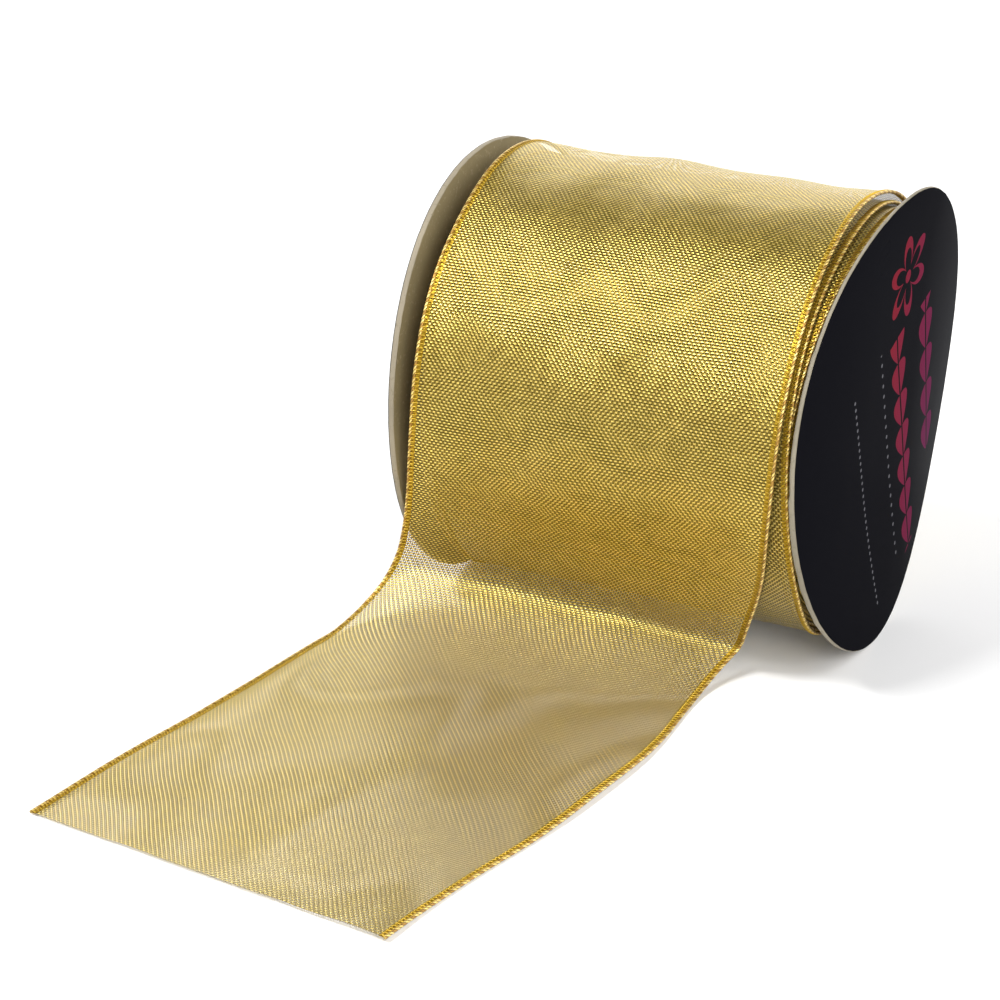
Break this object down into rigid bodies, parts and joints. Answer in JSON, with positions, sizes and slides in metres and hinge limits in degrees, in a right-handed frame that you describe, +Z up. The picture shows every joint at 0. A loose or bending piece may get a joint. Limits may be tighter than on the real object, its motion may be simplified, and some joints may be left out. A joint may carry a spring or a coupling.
{
  "type": "ribbon spool",
  "caption": "Wide sheer gold wire-edged ribbon wound on a card spool with black-faced round flanges, its free end unrolled on the floor.",
  "frame": {"origin": "On the floor, under the middle of the object's bounding box.", "axes": "+X along the spool's axis towards the flange that faces right of the paid-out end, -Y the way the free end lies, +Z up."},
  "size_m": [0.1406, 0.2592, 0.1209],
  "materials": {
    "gold_mesh": "satin",
    "gold_thread": "satin",
    "copper_wire": "satin",
    "greyboard": "matte",
    "black_paper": "gloss",
    "core_board": "matte",
    "hot_glue": "satin",
    "clear_tape": "gloss"
  },
  "bodies": {
    "ribbon_run": {"run_web": "gold_mesh", "run_left_overlock": "gold_thread", "run_right_overlock": "gold_thread", "run_left_wire": "copper_wire", "run_right_wire": "copper_wire"},
    "spool": {"core_tube": "core_board", "left_board": "greyboard", "right_board": "greyboard", "left_face_paper": "black_paper", "right_face_paper": "black_paper", "left_glue_ring": "hot_glue", "right_glue_ring": "hot_glue", "start_tape": "clear_tape", "wound_web": "gold_mesh", "left_wound_edge": "gold_thread", "right_wound_edge": "gold_thread"},
    "ribbon_end": {"end_web": "gold_mesh", "end_left_overlock": "gold_thread", "end_right_overlock": "gold_thread", "end_left_wire": "copper_wire", "end_right_wire": "copper_wire"}
  },
  "joints": [
    {"name": "spool_turn", "type": "hinge", "parent": "ribbon_run", "child": "spool", "pos_m": [0.01165, 0.06915, 0.06044], "axis": [1, 0, 0], "range_deg": [0, 60]},
    {"name": "tail_pull", "type": "slide", "parent": "ribbon_run", "child": "ribbon_end", "axis": [-0.1045, -0.9945, 0], "range_m": [0, 0.0625]}
  ],
  "couplings": [
    {"joint": "tail_pull", "follows": "spool_turn", "m_per_rad": 0.059}
  ]
}
